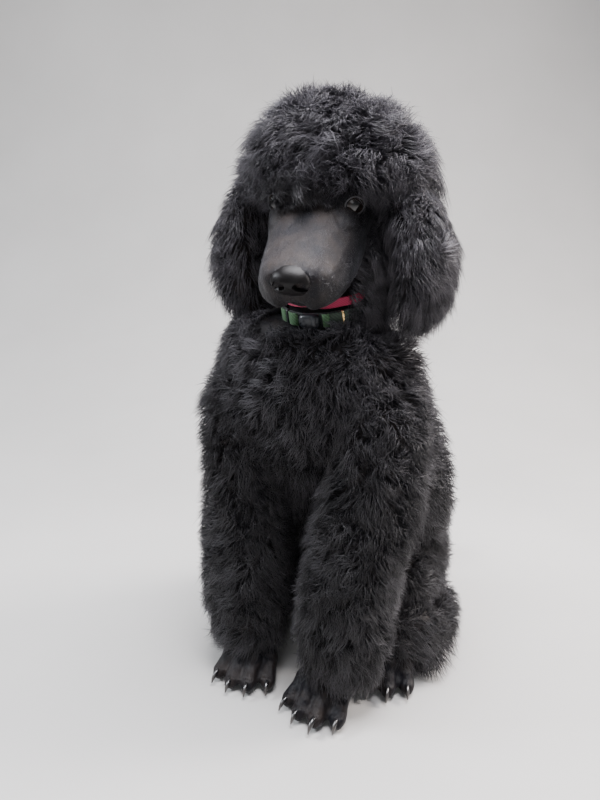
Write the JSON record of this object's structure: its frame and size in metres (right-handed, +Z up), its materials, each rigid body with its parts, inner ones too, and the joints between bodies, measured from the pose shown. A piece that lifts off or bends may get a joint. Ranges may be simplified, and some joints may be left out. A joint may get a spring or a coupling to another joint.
{
  "type": "standard poodle",
  "caption": "Sitting black standard poodle puppy with a rounded topknot, long haired ears, a shaved face and feet and a webbing collar, as a still life-size model.",
  "frame": {"origin": "on the floor, under the middle of the dog's length and width", "axes": "+Z up, -Y the way the dog faces, +X the dog's left"},
  "size_m": [0.3104, 0.4915, 0.6389],
  "materials": {
    "coat": "soft, curly black hair",
    "skin": "short shaved hair with a soft sheen",
    "nose": "moist, fine grained",
    "eye": "wet gloss",
    "webbing": "woven webbing",
    "buckle": "satin",
    "brass": "polished",
    "loop": "woven nylon"
  },
  "bodies": {
    "root": {"collar_buckle": "buckle", "collar_fold_left": "webbing", "collar_fold_right": "webbing", "collar_keeper": "brass", "collar_slide": "buckle", "collar_strap": "webbing", "ear_left": "coat", "ear_right": "coat", "eye_left": "eye", "eye_right": "eye", "foreleg_left": "coat", "foreleg_right": "coat", "forepaw_left": "skin", "forepaw_right": "skin", "head": "skin", "hindleg_left": "coat", "hindleg_right": "coat", "hindpaw_left": "skin", "hindpaw_right": "skin", "neck": "coat", "neck_loop": "loop", "nose": "nose", "tail": "coat", "topknot": "coat", "torso": "coat"}
  },
  "joints": []
}
